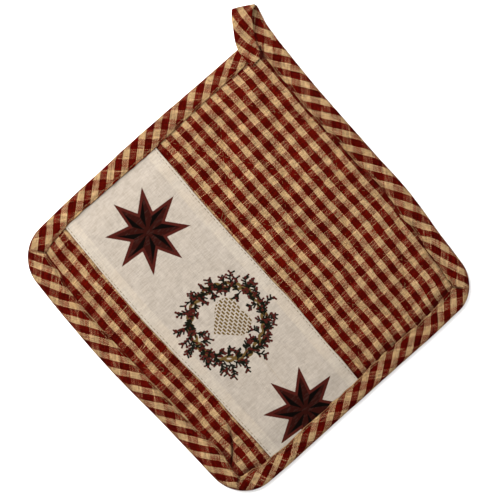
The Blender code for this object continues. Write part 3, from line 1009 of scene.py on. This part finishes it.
def build_binding(material):
    """The bias strip that wraps the whole edge, front and back."""
    outer, inner, along = binding_rings()
    reach = inner - outer
    lip = np.linalg.norm(reach, axis=1)
    inward = reach / lip[:, None]
    place = along[:-1]
    lip = lip + (0.2 + 0.3 * seam_gap(*inner.T)) * wander(place, 0, 5.5, 46)
    depth, height = binding_sections(lip, place)
    x, y = (outer[:, axis, None] + inward[:, axis, None] * depth for axis in (0, 1))
    rows, columns = depth.shape
    faces, places = grid_faces(rows, columns, wrap_rows=True, wrap_columns=True)

    # The cloth's own depth runs on round the roll and along the back.
    moved = np.diff(np.stack([depth, height], -1), axis=1, append=0)
    length = np.cumsum(np.linalg.norm(moved, axis=2), axis=1)[:, :-1]
    unrolled = lip[:, None] - np.concatenate([np.zeros((rows, 1)), length, length[:, -1:]], 1)
    uv = binding_weave(outer, inward, unrolled).reshape(-1, 2)
    on_front = np.arange(columns)[None, :] < len(FRONT_DEPTHS)
    from_lip = lip[:, None] - depth
    _, fold = corner_tucks(rows)
    numbers = {
        "stain": on_front * ridge(np.abs(from_lip - STITCH_IN), 1.2) * 0.6,
        "pale_lip": ridge(from_lip, 0.45) * on_front * smooth(0.6 + wander(place, 0, 7.0, 47))[:, None],
        # painted shade along each mitre fold
        "painted_shade": fold[:, None] * on_front * smooth((depth / lip[:, None] - 0.35) / 0.3),
    }
    piece = make_piece("edge_binding", on_outline(x, y, height).reshape(-1, 3), faces,
                       uv[places.reshape(-1)], material, numbers)
    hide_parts("binding")
    return outer, inward, lip, along, height


# =========================================================== the hanging loop
def loop_frame():
    """The edges, the middle and the facing of the loop's strip, along it."""
    rows = spline_rows(LOOP_ROWS, (len(LOOP_ROWS) - 1) * LOOP_STEPS + 1)
    upper, lower = rows[:, (0, 1, 4)], rows[:, (2, 3, 4)]
    middle = (upper + lower) / 2
    face = np.cross(np.gradient(middle, axis=0), lower - upper)
    return upper, lower, middle, face / np.linalg.norm(face, axis=1)[:, None]


def loop_weave(points, depth, past):
    """Yarn counts on the loop: the front leg's cloth has its own lie.

    The back leg's runs on from the top of the binding, and past is how far.
    """
    column, row = bias_weave("top", -HALF - past, depth)
    row = row - 0.42 * smooth((past - 12) / 8)
    x, y = (np.concatenate([points, points[:, :1]], 1)[..., :2] - LOOP_PLACE).transpose(2, 0, 1) / 10
    turned = smooth((np.arange(len(points)) / LOOP_STEPS - LOOP_TURNS) / 0.9)[:, None]
    joint = (int((LOOP_TURNS + 0.4) * LOOP_STEPS), points.shape[1] // 4)
    laid = []
    for old, shares in ((column, LOOP_COLUMNS), (row, LOOP_CLOTH_ROWS)):
        new = weighed(shares, powers_of(x, y))
        new = new + np.round(old[joint] - new[joint])
        laid.append(old + turned * (new - old))
    return yarn_counts(*laid).reshape(-1, 2)


def build_loop(material):
    """The hanging loop: the strip folded back on itself and sewn down."""
    upper, lower, middle, face = loop_frame()
    along, upper_along, lower_along = run_length(middle), run_length(upper), run_length(lower)
    width = np.linalg.norm(lower - upper, axis=1)
    # Round the strip: a share of its width, how far out its face stands there,
    # and the same share on the unrolled tube.
    around = [(share, up, share) for share, up in zip(LOOP_ACROSS, LOOP_THICK)]
    around += [(share, -up, 2 - share) for share, up in zip(LOOP_ACROSS[-2:0:-1], LOOP_THICK[-2:0:-1])]
    ring, depth, past = [], [], []
    for share, up, unrolled in around + [(0, 0, 2)]:
        wave = 0.10 * wander(along, unrolled * 12, 5.0, 51)
        ring.append(upper + (lower - upper) * share + face * ((LOOP_CLOTH / 2 + wave) * up)[:, None])
        depth.append(width * unrolled)
        past.append(upper_along + (lower_along - upper_along) * share)
    points = np.stack(ring[:-1], 1)
    depth = np.stack(depth, 1)
    past = np.stack(past, 1) - upper_along[LOOP_LEAVES * LOOP_STEPS]
    rows, columns = points.shape[:2]
    faces, places = grid_faces(rows, columns, wrap_columns=True)
    uv = loop_weave(points, depth, past)
    last = rows - 1
    caps = [list(range(columns)), list(range(last * columns, rows * columns))]
    ends = np.concatenate([uv[:columns], uv[last * (columns + 1):last * (columns + 1) + columns]])
    edge = np.minimum(depth[:, :-1] % np.maximum(width, 1)[:, None], 3)
    piece = make_piece("loop_tape", points.reshape(-1, 3), faces.tolist() + caps,
                       np.concatenate([uv[places.reshape(-1)], ends]), material,
                       {"stain": ridge(edge - 1.3, 1.0) * 0.5})
    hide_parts("hanging_loop")


# ------------------------------------------------------------------- the print
STAR_CENTRES = ((-56.0, -30.5), (84.0, -31.5))
STAR_RADIUS = 26.0
STAR_NOTCH = 12.0
STAR_POINTS = 8
STAR_TURN = 0.2
STAR_RIM = 1.7
WREATH_CENTRE = (15.0, -31.0)
WREATH_RADIUS = 22.0
VINE_TURNS = 11
TWIGS = 64
TWIG_STEPS = 5
HEART_CENTRE = (15.0, -31.5)
HEART_SIZE = 21.0
FAR = 9.0                          # a layer's distance where nothing is near


def star_layers(x, y, centre):
    """Distance into a star, and into the dark half of each of its points."""
    dx, dy = x - centre[0], y - centre[1]
    radius = np.hypot(dx, dy)
    step = math.tau / STAR_POINTS
    angle = (np.arctan2(dy, dx) - STAR_TURN + step / 2) % step - step / 2
    px, py = radius * np.cos(angle), radius * np.abs(np.sin(angle))
    edge = STAR_NOTCH * np.array((math.cos(step / 2), math.sin(step / 2))) - (STAR_RADIUS, 0)
    off = ((px - STAR_RADIUS) * -edge[1] + py * edge[0]) / -math.hypot(*edge)
    beside = np.where(angle > 0, py, -py)
    between = radius * np.sin(step / 2 - np.abs(angle))
    return off, np.maximum.reduce([off + STAR_RIM, 0.5 - beside, 0.25 - between])


def heart_layer(x, y):
    """Distance into a plain heart."""
    px, py = np.abs(x - HEART_CENTRE[0]) / HEART_SIZE, (y - HEART_CENTRE[1]) / HEART_SIZE + 0.5
    lobe = np.hypot(px - 0.25, py - 0.75) - math.sqrt(2) / 4
    half = 0.5 * np.maximum(px + py, 0)
    side = np.sqrt(np.minimum(px ** 2 + (py - 1) ** 2, (px - half) ** 2 + (py - half) ** 2))
    return np.where(px + py > 1, lobe, side * np.sign(px - py)) * HEART_SIZE


def draw_twig(layers, x, y, start, end, thick):
    """Add a straight twig to the layer of twigs."""
    run = end - start
    share = np.clip(((x - start[0]) * run[0] + (y - start[1]) * run[1]) / (run @ run), 0, 1)
    off = np.hypot(x - start[0] - run[0] * share, y - start[1] - run[1] * share) - thick
    layers["twig"] = np.minimum(layers["twig"], off)


def draw_berry(layers, x, y, place, radius):
    """Add a berry to the layer of berries."""
    off = np.hypot(x - place[0], y - place[1]) - radius
    layers["berry"] = np.minimum(layers["berry"], off)


def ahead(place, heading, distance):
    return place + distance * np.array((math.cos(heading), math.sin(heading)))


def draw_sprig(layers, x, y, base, heading, length, rng):
    """A forked twig with leaves along it and a berry on each end."""
    near = (np.abs(x - base[0]) < length + 8) & (np.abs(y - base[1]) < length + 8)
    part = {key: values[near] for key, values in layers.items()}
    px, py = x[near], y[near]
    place = np.array(base, float)
    bend = rng.uniform(-0.25, 0.25)
    for _ in range(TWIG_STEPS):
        heading += bend + rng.uniform(-0.15, 0.15)
        after = ahead(place, heading, length / TWIG_STEPS)
        draw_twig(part, px, py, place, after, 0.42)
        for side in (-1, 1):
            if rng.uniform() < 0.8:
                fork = heading + side * rng.uniform(0.6, 1.1)
                tip = ahead(after, fork, rng.uniform(1.6, 3.0))
                draw_twig(part, px, py, after, tip, 0.5)
                if rng.uniform() < 0.6:
                    draw_berry(part, px, py, tip, rng.uniform(0.55, 0.8))
        place = after
    draw_berry(part, px, py, place, 0.8)
    for key, values in part.items():
        layers[key][near] = values


def print_layers(x, y):
    """The printed pattern: stars, and a berry wreath round a heart."""
    layers = {key: np.full_like(x, FAR) for key in INKS}

    def put(key, distance):
        layers[key] = np.minimum(layers[key], distance)

    for centre in STAR_CENTRES:
        off, facet = star_layers(x, y, centre)
        put("star", off)
        put("rim", np.abs(off + STAR_RIM / 2) - STAR_RIM / 2)
        put("facet", facet)
    dx, dy = x - WREATH_CENTRE[0], y - WREATH_CENTRE[1]
    radius, angle = np.hypot(dx, dy), np.arctan2(dy, dx)
    for sign in (-1, 1):
        put("vine", np.abs(radius - WREATH_RADIUS - sign * 1.5 * np.sin(VINE_TURNS * angle)) - 0.95)
    layers["hatch"] = heart_layer(x, y)
    rng = np.random.default_rng(12)
    forks = {key: layers[key] for key in ("twig", "berry")}
    for number in range(TWIGS):
        turn = math.tau * (number + rng.uniform(-0.3, 0.3)) / TWIGS
        base = ahead(np.array(WREATH_CENTRE), turn, WREATH_RADIUS + rng.uniform(-2.5, 2.0))
        outside = number % 3 != 2
        heading = turn + (1.0 if outside else 2.4) + rng.uniform(-0.3, 0.3)
        draw_sprig(forks, x, y, base, heading, rng.uniform(6.5, 10.0) if outside else 5.0, rng)
    layers.update(forks)
    return layers


# =================================================================== the band
def band_height(x, y):
    """Height of the band's upper face."""
    edge = np.minimum(y - BAND_BOTTOM, BAND_TOP - y)
    single = smooth((edge - HEM) / 1.2)
    z = band_under(x) + BAND_CLOTH - 0.22 * single - 0.18 * ridge(edge - TOPSTITCH_IN, 0.5)
    z = z + 0.16 * single * wander(x, y, 17.0, 61) + 0.05 * wander(x, y, 6.0, 62)
    z = z - 0.30 * single * (1 - quilting(x, y)) ** 3 + band_crease(x, y)
    ends = np.exp(-np.maximum(from_seam(x, BAND_MIDDLE), 0) / 5.0)
    z = z + 0.10 * ends * np.sin(y * math.tau / 9.0 + 2 * wander(x, y, 12.0, 63))
    ripple = np.sin(x * math.tau / 6.5 + 3 * wander(x, 0, 12.0, 64)) * np.exp(-edge / 2.5)
    return z + 0.07 * ripple


def band_crease(x, y):
    """A pressed line along the middle of the band's right part."""
    off = y - (-29.0 - 0.032 * np.clip(x, 0, 65))
    return 0.22 * ridge(off, 0.4) * smooth((x + 2) / 8) * smooth((86 - x) / 8)


def build_band(material):
    """The plain band: one layer of cotton with its long edges turned under."""
    left = -HALF + MEAN_WIDTH["left"] - BAND_END
    right = HALF - MEAN_WIDTH["right"] + BAND_END
    low, high = BAND_BOTTOM + HEM_FOLD, BAND_TOP - HEM_FOLD
    flat = np.linspace(low, high, int((high - low) / BAND_CELL) + 1)
    # Each row: place up the band, how far below the upper face, cloth count.
    hems = [[], []]
    for rows, start, way in ((hems[0], low, 1), (hems[1], high, -1)):
        rows += [(start + way * d, -1.0, start - way * (d + HEM_FOLD)) for d in HEM_UNDER]
        rows += [(start - way * HEM_FOLD * math.cos(a), (math.sin(a) - 1) / 2,
                  start - way * HEM_FOLD * (1 - a)) for a in np.radians((-90, -60, -30, 0, 30, 60))]
    table = hems[0] + [(y, 0.0, y) for y in flat] + hems[1][::-1]
    up, drop, cloth = (np.array(column) for column in zip(*table))
    x, y = np.meshgrid(np.linspace(left, right, int((right - left) / BAND_CELL) + 1), up)
    edge = np.minimum(y - BAND_BOTTOM, BAND_TOP - y)
    wavy = y + 0.25 * wander(x, 0, 16.0, 65) * ridge(edge, 6.0)
    z = band_height(x, np.clip(y, low, high)) + drop[:, None] * (BAND_CLOTH - 0.15)
    faces, places = grid_faces(*x.shape)
    cloth = np.broadcast_to(cloth[:, None], x.shape)
    uv = np.stack([x + 0.4 * wander(x, y, 25.0, 66), cloth + 0.5 * wander(x, y, 25.0, 67)], -1)
    numbers = print_layers(x, cloth)
    numbers["single_layer"] = smooth(edge - HEM)
    # dirt and painted shade in the topstitching's groove and along the pressed line
    numbers["crease_dirt_and_shade"] = ridge(edge - TOPSTITCH_IN, 0.35) * 0.4 + band_crease(x, y) * 3.5
    piece = make_piece("muslin_band", on_outline(x, wavy, z).reshape(-1, 3), faces,
                       uv.reshape(-1, 2)[places.reshape(-1)], material, numbers)
    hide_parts("print_band")


# ================================================================= the stitches
STITCH_SIDES = 6
STITCH_PATH = (0.0, 0.16, 0.5, 0.84, 1.0)
# A thread's thickness, how far it bows out of the cloth, how deep its ends lie.
STITCHES = {
    "quilting_thread_front": (0.34, 0.16, 0.06),
    "quilting_thread_back": (0.34, 0.16, 0.06),
    "band_topstitch": (0.30, 0.12, 0.10),
    "binding_stitches_front": (0.34, 0.16, 0.06),
    "binding_stitches_back": (0.34, 0.16, 0.12),
    "loop_stitches": (0.30, 0.14, 0.05),
    "bar_tack": (0.5, 0.25, 0.0),
    "loose_threads": (0.2, 0.0, 0.0),
}
# From the start of one stitch to the next, and how long each one is.
SPACING = {"quilting": (3.5, 2.3), "band": (2.7, 1.6), "binding": (2.75, 2.2), "loop": (2.6, 2.1)}
QUILT_LINES = 6                    # to either side of the crossing
QUILT_REACH = 320                  # along each of them
LOOP_SEAMS = (0.115, 0.885)        # shares of the loop's width
TACK_START = np.array((-94.0, 92.5))
TACK_RUN = np.array((6.0, -3.3))
TACK_STITCHES = 13
KNOT_STITCHES = 5
UP = np.array((0.0, 0.0, 1.0))


def stitch_piece(name, start, end, normal, material):
    """Short threads from start to end that bow up out of the cloth."""
    thick, rise, sink = STITCHES[name]
    along = end - start
    side = np.cross(along, normal)
    side = side / np.linalg.norm(side, axis=1)[:, None]
    length = np.linalg.norm(along, axis=1)
    points, uv = [], []
    for share in STITCH_PATH:
        bow = math.sin(math.pi * share) ** 0.6
        centre = start + along * share + normal * (rise * bow - sink)
        size = thick / 2 * (0.7 + 0.3 * bow)
        for corner in range(STITCH_SIDES):
            angle = math.tau * corner / STITCH_SIDES
            points.append(centre + (side * math.cos(angle) + normal * math.sin(angle)) * size)
            uv.append(np.stack([length * share, np.full(len(start), corner / STITCH_SIDES)], -1))
    points = np.stack(points, 1).reshape(-1, 3)
    per = len(STITCH_PATH) * STITCH_SIDES
    faces, places = grid_faces(len(STITCH_PATH), STITCH_SIDES, wrap_columns=True)
    caps = np.array([range(STITCH_SIDES), range(per - 1, per - STITCH_SIDES - 1, -1)])
    shift = np.arange(len(start))[:, None, None] * per
    quads = (faces[None] + shift).reshape(-1, 4)
    ends = (caps[None] + shift).reshape(-1, STITCH_SIDES)
    uv = np.stack(uv, 1).reshape(len(start), len(STITCH_PATH), STITCH_SIDES, 2)
    wide = np.concatenate([uv, uv[:, :, :1] + (0, 1.0)], 2).reshape(len(start), -1, 2)
    corner_uv = np.concatenate([wide[:, places.reshape(-1)].reshape(-1, 2),
                                uv.reshape(-1, 2)[ends.reshape(-1)]])
    piece = make_piece(name, points, quads.tolist() + ends.tolist(), corner_uv, material)


def lift(points, height):
    """Points of the true square as places on a surface."""
    x, y = points[:, 0], points[:, 1]
    return on_outline(x, y, height(x, y))


def build_quilting_stitches(material):
    """Machine stitches along the quilting lines, on the front and the back."""
    starts, ends = [], []
    pitch, length = SPACING["quilting"]
    step = np.array((DIAMOND_WIDTH, DIAMOND_HEIGHT)) / math.hypot(DIAMOND_WIDTH, DIAMOND_HEIGHT)
    for sign in (-1, 1):
        heading = step * (1, sign)
        for number in range(-QUILT_LINES, QUILT_LINES + 1):
            origin = np.array(CROSSING) + (DIAMOND_WIDTH * number, 0)
            place = np.arange(-QUILT_REACH, QUILT_REACH, pitch) + 1.3 * number
            place = place + 0.25 * np.sin(place * 1.7)
            starts.append(origin + heading * place[:, None])
            ends.append(origin + heading * (place + length)[:, None])
    start, end = np.concatenate(starts), np.concatenate(ends)
    x, y = ((start + end) / 2).T
    in_front = (from_seam(x, y) > 1.6) & ((y > BAND_TOP + 1.8) | (y < BAND_BOTTOM - 1.8))
    behind = np.maximum(np.abs(x), np.abs(y)) < BACK_HALF - 2.0
    for name, here, height, normal in (("quilting_thread_front", in_front, pad_front, UP),
                                       ("quilting_thread_back", behind, pad_back, -UP)):
        stitch_piece(name, lift(start[here], height), lift(end[here], height), normal, material)


def build_band_stitches(material):
    """Topstitching along both hems of the band."""
    pitch, length = SPACING["band"]
    x = np.arange(-HALF + MEAN_WIDTH["left"] + 0.6, HALF - MEAN_WIDTH["right"] - 0.6, pitch)
    starts, ends = [], []
    for height in (BAND_TOP - TOPSTITCH_IN, BAND_BOTTOM + TOPSTITCH_IN):
        for target, shift in ((starts, 0.0), (ends, length)):
            y = height + 0.22 * wander(x + shift, height, 22.0, 71)
            target.append(np.stack([x + shift, y], -1))
    start, end = (lift(np.concatenate(points), band_height) for points in (starts, ends))
    stitch_piece("band_topstitch", start, end, UP, material)


def build_binding_stitches(binding, material):
    """The seam that holds the binding down, on the front and the back."""
    outer, inward, lip, along, height = binding
    pitch, length = SPACING["binding"]
    begin = np.arange(6.0, along[-1] - 6.0, pitch)
    seam_height = height[:, FRONT_DEPTHS.index(STITCH_IN)]

    def on_ring(values, distance):
        return np.interp(distance, along, np.append(values, values[0]))

    for name, inset, normal in (("binding_stitches_front", STITCH_IN, UP),
                                ("binding_stitches_back", STITCH_IN + 0.4, -UP)):
        ends = []
        for distance in (begin, begin + length):
            deep = on_ring(lip, distance) - inset
            x, y = (on_ring(outer[:, axis], distance) + on_ring(inward[:, axis], distance) * deep
                    for axis in (0, 1))
            z = on_ring(seam_height, distance) if normal is UP else np.full_like(x, 0.22)
            ends.append(on_outline(x, y, z))
        stitch_piece(name, *ends, normal, material)


def build_loop_stitches(material):
    """The loop's edge stitching."""
    upper, lower, middle, face = loop_frame()
    along = run_length(middle)
    pitch, length = SPACING["loop"]
    begin = np.arange(2.0, along[-1] - 3.0, pitch)

    def at(distance, line):
        return np.stack([np.interp(distance, along, line[:, axis]) for axis in range(3)], -1)

    starts, ends = [], []
    for share in LOOP_SEAMS:
        line = upper + (lower - upper) * share + face * LOOP_CLOTH / 2 * 0.9
        starts.append(at(begin, line))
        ends.append(at(begin + length, line))
    facing = at(begin, face)
    facing = facing / np.linalg.norm(facing, axis=1)[:, None]
    stitch_piece("loop_stitches", np.concatenate(starts), np.concatenate(ends),
                 np.concatenate([facing, facing]), material)


def build_bar_tack(material):
    """Close stitches that sew the loop's end down, a knot, and a line below."""
    starts, ends = [], []
    for number, share in enumerate(np.linspace(0, 1, TACK_STITCHES)):
        centre = TACK_START + TACK_RUN * share
        tilt = np.array((0.25, 0.85)) * (0.75, 1.1, 0.9)[number % 3]
        starts.append(centre - tilt + (0, 0.3 * math.sin(5.0 * number)))
        ends.append(centre + tilt + (0.2 * math.sin(3.0 * number), 0))
    for number in range(KNOT_STITCHES):
        starts.append((-91.0 + 0.2 * number, 90.4 - 0.5 * number))
        ends.append((-88.2 + 0.15 * number, 90.1 - 0.45 * number))
    for down in np.arange(88.4, 82.0, -1.7):
        starts.append((-88.0, down))
        ends.append((-88.1, down - 0.9))
    height = np.where(np.array(starts)[:, :1] < -91.5, 7.25, 7.1)
    start, end = (np.column_stack([np.array(points), height]) for points in (starts, ends))
    stitch_piece("bar_tack", start, end, UP, material)


LOOSE_THREADS = [
    # the points a thread passes through: x, y, height over the cloth
    [(-35.8, 12.7, 0.2), (-34.6, 10.6, 0.7), (-33.2, 8.6, 0.5), (-31.6, 6.2, 0.2)],
    [(-34.9, 11.9, 0.3), (-33.0, 10.9, 0.8), (-31.5, 9.6, 0.9), (-30.3, 7.4, 0.3)],
    [(8.6, -79.6, 0.2), (9.0, -78.4, 0.9), (10.2, -77.9, 1.0), (11.0, -79.0, 0.6), (10.3, -80.2, 0.2)],
    [(48.6, 88.6, 1.2), (49.4, 89.3, 1.8), (50.6, 88.9, 1.6), (51.2, 87.8, 1.0)],
    [(68.0, 66.0, 0.2), (68.4, 64.8, 0.7), (69.4, 64.2, 0.8), (70.1, 65.2, 0.3)],
    [(-88.9, 82.4, 2.0), (-88.2, 81.0, 2.2), (-87.3, 80.9, 1.8), (-87.0, 82.2, 1.2), (-87.6, 83.2, 0.4)],
]


def build_loose_threads(material):
    """Fine ends of thread that stand up out of the cloth."""
    starts, ends = [], []
    for knots in LOOSE_THREADS:
        x, y, over = spline_rows(knots, 15).T
        line = on_outline(x, y, pad_front(x, y) + over)
        starts.append(line[:-1])
        ends.append(line[1:] + (line[1:] - line[:-1]) * 0.25)
    stitch_piece("loose_threads", np.concatenate(starts), np.concatenate(ends), UP, material)


# ==================================================================== the stage
PHOTO_MIDDLE = (-7.56, 7.70)       # what the middle of the picture shows
PHOTO_SPAN = 297.0                 # across the picture, at the front's height
PHOTO_TURN = 48.25                 # degrees from X to the picture's right
FRONT_HEIGHT = 6.0
LENS = 180.0
SENSOR = 36.0
FLOOR_HALF = 1.5                   # in metres, as the lamps' places and sizes
FLOOR_TOP = -0.0001
FLOOR_WHITE = 0.94
SKY = (1.0, 0.995, 0.985)
SKY_STRENGTH = 0.88
LAMPS = {
    # place, watts, width
    "key": ((-0.45, -0.07, 0.54), 12.9, 0.66),
    "fill": ((0.1, 0.5, 1.3), 5.9, 1.2),
}


def build_stage():
    """A pale floor, soft light from the picture's upper left, the camera."""
    scene = bpy.context.scene
    mesh = bpy.data.meshes.new("floor")
    mesh.from_pydata([(x * FLOOR_HALF, y * FLOOR_HALF, FLOOR_TOP)
                      for x, y in ((-1, -1), (1, -1), (1, 1), (-1, 1))], [], [(0, 1, 2, 3)])
    floor = bpy.data.objects.new("floor", mesh)
    scene.collection.objects.link(floor)
    pale = bpy.data.materials.new("floor")
    pale.use_nodes = True
    surface = pale.node_tree.nodes["Principled BSDF"]
    surface.inputs["Base Color"].default_value = (FLOOR_WHITE, FLOOR_WHITE, FLOOR_WHITE, 1)
    surface.inputs["Roughness"].default_value = 0.9
    mesh.materials.append(pale)

    world = bpy.data.worlds.new("studio")
    scene.world = world
    world.use_nodes = True
    sky = world.node_tree.nodes["Background"]
    sky.inputs["Color"].default_value = (*SKY, 1)
    sky.inputs["Strength"].default_value = SKY_STRENGTH
    for name, (place, watts, width) in LAMPS.items():
        light = bpy.data.lights.new(name, "AREA")
        light.shape = "DISK"
        light.size = width
        light.energy = watts
        lamp = bpy.data.objects.new(name, light)
        lamp.location = place
        lamp.rotation_euler = (-lamp.location).to_track_quat("-Z", "Y").to_euler()
        scene.collection.objects.link(lamp)

    camera = bpy.data.objects.new("camera", bpy.data.cameras.new("camera"))
    camera.data.lens = LENS
    camera.data.sensor_width = SENSOR
    camera.data.clip_start = 0.1
    camera.data.clip_end = 10.0
    away = PHOTO_SPAN * LENS / SENSOR + FRONT_HEIGHT
    camera.matrix_world = (Matrix.Translation((PHOTO_MIDDLE[0] * MM, PHOTO_MIDDLE[1] * MM, away * MM))
                           @ Matrix.Rotation(math.radians(PHOTO_TURN), 4, "Z"))
    scene.collection.objects.link(camera)
    scene.camera = camera
    scene.view_settings.view_transform = "Standard"


def main():
    weave = yarn_group()
    gingham = gingham_material("gingham", weave)
    bias = gingham_material("bias_gingham", weave)
    muslin = muslin_material("printed_cotton", weave)
    thread = thread_material("thread", THREAD)
    pale = thread_material("pale_thread", PALE_THREAD)
    build_pad(gingham)
    build_band(muslin)
    binding = build_binding(bias)
    build_loop(bias)
    build_quilting_stitches(thread)
    build_band_stitches(thread_material("brown_thread", BROWN_THREAD))
    build_binding_stitches(binding, pale)
    build_loop_stitches(pale)
    build_bar_tack(thread_material("dark_thread", DARK_THREAD))
    build_loose_threads(pale)
    build_stage()


main()
